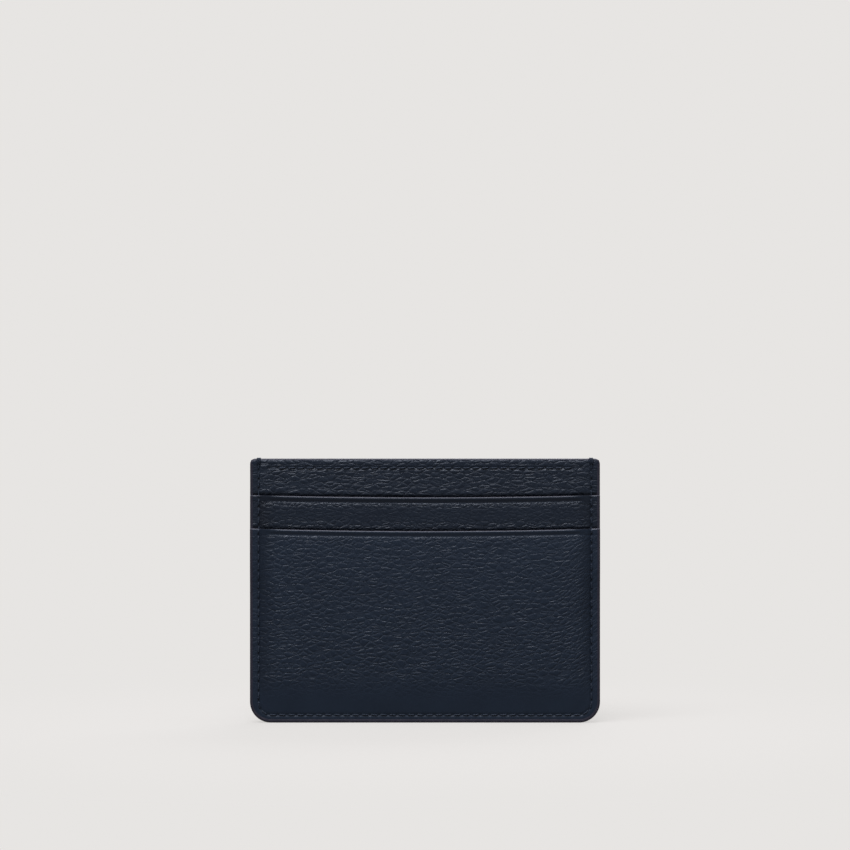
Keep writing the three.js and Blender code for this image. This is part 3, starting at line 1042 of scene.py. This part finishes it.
def wrap_route(x):
    """A turn of thread from a needle hole near the top edge, over the edge to the middle plane."""
    face = PANEL_FACE + 0.1
    top = HEIGHT + 0.06
    start = HEIGHT - 1.9
    climb = [(x, -(face - 0.25), start), (x, -(face + 0.02), start + 0.35)]
    climb.append((x, -(face + 0.05), start + 1.2))
    over = []
    for t in np.linspace(0.15, math.pi / 2, 6):
        over.append((x, -(face - 0.35 + 0.4 * math.cos(t)), top - 0.45 + 0.45 * math.sin(t)))
    return climb + over + [(x, -0.3, top), (x, 0.15, top)]


def straight_stitches(name, half, height, depth_at, back, node, material):
    """A level row of stitches, reaching up to half to either side of the middle."""
    count = int(half / STITCH_PITCH)
    routes = []
    for k in range(-count, count):
        middle = ((k + 0.5) * STITCH_PITCH, height)
        routes.append(stitch_route(middle, (1, 0), depth_at))
    joined_stitches(name, routes, back, node, material)


def slip_depth(_x, _z):
    """Depth of the slip at its tack seam, the same all along."""
    return PANEL_FACE + SLIP_ROW_LIFT


def build_half(side, materials):
    """Every piece of the front or the back half."""
    back = side == "back"
    panel_piece(side, back, materials["panel"])
    upper_pocket_piece(side, back, materials["upper"])
    lower_pocket_piece(side, back, materials["lower"])
    panel_layers(side, back, materials["cloth"], materials["board"])
    upper_pocket_slip(side, back, materials["cloth"])
    lower_pocket_lining(side, back, materials["cloth"])
    for pocket in MOUTHS:
        mouth_paint(side, back, materials["paint"], pocket)
    top_paint(side, back, materials["paint"])
    straight_stitches(f"{side}_top_stitches", TOP_ROW_HALF, TOP_ROW_HEIGHT, face_depth, back,
                      f"{side}_top_stitching", materials["thread"])
    straight_stitches(f"{side}_slip_stitches", SLIP_ROW_HALF, SLIP_ROW_HEIGHT, slip_depth, back,
                      f"{side}_slip_stitching", materials["thread"])


# ---- Stage ----


def stage_material():
    """The backdrop's tone to the eye, with a faint real shadow near the holder, and dim as a light."""
    s = Shader("stage_floor")
    s.tree.nodes.remove(s.surface)
    glow = s.add("ShaderNodeEmission", {"Color": BACKDROP})
    matte = s.add("ShaderNodeBsdfDiffuse", {"Color": SHADOW_TONE})
    place = s.add("ShaderNodeTexCoord").outputs["Object"]
    away = s.add("ShaderNodeVectorMath", {0: place}, operation="LENGTH").outputs["Value"]
    share = s.span(away, SHADOW_NEAR, SHADOW_FAR, SHADOW_SHARE, 0.0)
    seen = s.add("ShaderNodeMixShader", {0: share, 1: glow.outputs[0], 2: matte.outputs[0]})
    dim = s.add("ShaderNodeEmission", {"Color": (1, 1, 1, 1), "Strength": FLOOR_GLOW})
    eye = s.add("ShaderNodeLightPath").outputs["Is Camera Ray"]
    mixed = s.add("ShaderNodeMixShader", {0: eye, 1: dim.outputs[0], 2: seen.outputs[0]})
    s.join(mixed.outputs[0], s.tree.nodes["Material Output"].inputs["Surface"])
    return s.material


def make_floor():
    """A level floor that reaches past what the camera sees."""
    mesh = bpy.data.meshes.new("stage_floor")
    r = FLOOR_REACH
    mesh.from_pydata([(-r, -r, 0), (r, -r, 0), (r, r, 0), (-r, r, 0)], [], [(0, 1, 2, 3)])
    mesh.materials.append(stage_material())
    floor = bpy.data.objects.new("stage_floor", mesh)
    bpy.context.collection.objects.link(floor)


def make_world():
    """The backdrop's tone to the eye, and a dimmer soft room as light, brighter overhead."""
    world = bpy.data.worlds.new("studio")
    bpy.context.scene.world = world
    world.use_nodes = True
    nodes = world.node_tree.nodes
    links = world.node_tree.links
    seen = nodes["Background"]
    seen.inputs["Color"].default_value = BACKDROP
    room = nodes.new("ShaderNodeBackground")
    way = nodes.new("ShaderNodeTexCoord")
    split = nodes.new("ShaderNodeSeparateXYZ")
    ramp = nodes.new("ShaderNodeMapRange")
    ramp.inputs["To Min"].default_value = ROOM_LOW
    ramp.inputs["To Max"].default_value = ROOM_HIGH
    links.new(way.outputs["Generated"], split.inputs[0])
    links.new(split.outputs["Z"], ramp.inputs["Value"])
    links.new(ramp.outputs[0], room.inputs["Strength"])
    path = nodes.new("ShaderNodeLightPath")
    mixed = nodes.new("ShaderNodeMixShader")
    links.new(path.outputs["Is Camera Ray"], mixed.inputs[0])
    links.new(room.outputs[0], mixed.inputs[1])
    links.new(seen.outputs[0], mixed.inputs[2])
    links.new(mixed.outputs[0], nodes["World Output"].inputs["Surface"])


def area_light(name, place, target, size, power):
    """A rectangular light at a place, facing the target, in metres and watts."""
    light = bpy.data.lights.new(name, "AREA")
    light.shape = "RECTANGLE"
    light.size, light.size_y = size
    light.energy = power
    light.color = DAYLIGHT
    holder = bpy.data.objects.new(name, light)
    holder.location = place
    holder.rotation_euler = (Vector(target) - Vector(place)).to_track_quat("-Z", "Y").to_euler()
    bpy.context.collection.objects.link(holder)


def make_lights():
    """A large key light from the upper left front, and weaker ones in front, above and behind."""
    middle = (0, 0, HEIGHT * MM / 2)
    area_light("key", (-0.5, -1.3, 1.85), middle, (2.0, 1.1), 39.0)
    area_light("front", (1.0, -2.2, 0.3), middle, (2.2, 1.6), 1.8)
    area_light("top", (0.1, -0.24, 1.9), middle, (1.8, 1.0), 20.0)
    area_light("rear_fill", (0.6, 1.6, 1.5), middle, (1.8, 1.2), 20.0)


def make_camera():
    """Level, square to the front, a little above it, so that upright edges stay upright."""
    camera = bpy.data.cameras.new("camera")
    camera.sensor_width = SENSOR_WIDTH
    width_seen = 2 * HALF_WIDTH * MM / PICTURE_SHARE
    camera.lens = SENSOR_WIDTH * CAMERA_DISTANCE / width_seen
    camera.clip_start = 0.05
    camera.clip_end = 200.0
    holder = bpy.data.objects.new("camera", camera)
    holder.location = (0, -CAMERA_DISTANCE, CAMERA_HEIGHT)
    holder.rotation_euler = (math.pi / 2, 0, 0)
    bpy.context.collection.objects.link(holder)
    bpy.context.scene.camera = holder


# ---- Assembly ----

make_camera()
# Each leather's piece_shade is painted shade over the whole piece, most of it on the upper bands.
finishes = {
    "panel": leather("panel_leather", cell_mm=1.25, relief_mm=0.125, stretch=0.52, piece_shade=0.36),
    "upper": leather("upper_pocket_leather", cell_mm=1.2, relief_mm=0.14, stretch=0.6, piece_shade=0.43),
    "lower": leather("lower_pocket_leather", cell_mm=1.3, relief_mm=0.13, stretch=0.6, piece_shade=0.03,
                     bends=True),
    "paint": edge_paint("edge_paint"),
    "thread": thread("sewing_thread"),
    "cloth": woven("lining_cloth"),
    "board": fibre_board("fibre_board"),
}
for half_name in ("front", "back"):
    build_half(half_name, finishes)
perimeter_paint(finishes["paint"])
seam_stitches("perimeter_needle_stitches", False, "perimeter_needle_thread", finishes["thread"])
seam_stitches("perimeter_bobbin_stitches", True, "perimeter_bobbin_thread", finishes["thread"])

make_world()
make_floor()
make_lights()
bpy.context.scene.view_settings.view_transform = "Standard"
bpy.context.view_layer.update()
